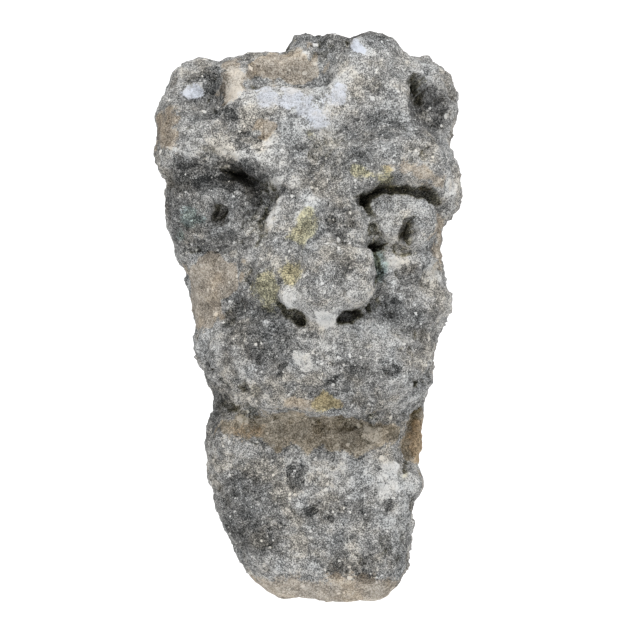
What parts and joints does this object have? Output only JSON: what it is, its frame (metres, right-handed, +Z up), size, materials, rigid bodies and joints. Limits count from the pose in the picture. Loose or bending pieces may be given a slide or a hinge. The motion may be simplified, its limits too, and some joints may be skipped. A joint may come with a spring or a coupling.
{
  "type": "stone corbel",
  "caption": "Carved stone wall corbel: one tapering block whose weathered front is a grotesque beast mask with drilled bulging eyes, blunt nose, broad muzzle and long plain jaw.",
  "frame": {"origin": "middle of the flat face that meets the wall", "axes": "+Z up, +Y into the wall, so that the mask looks along -Y; +X is to the viewer's right"},
  "size_m": [0.3049, 0.3062, 0.57],
  "materials": {
    "stone": "rough, weathered and lichened"
  },
  "bodies": {
    "root": {"corbel": "stone"}
  },
  "joints": []
}
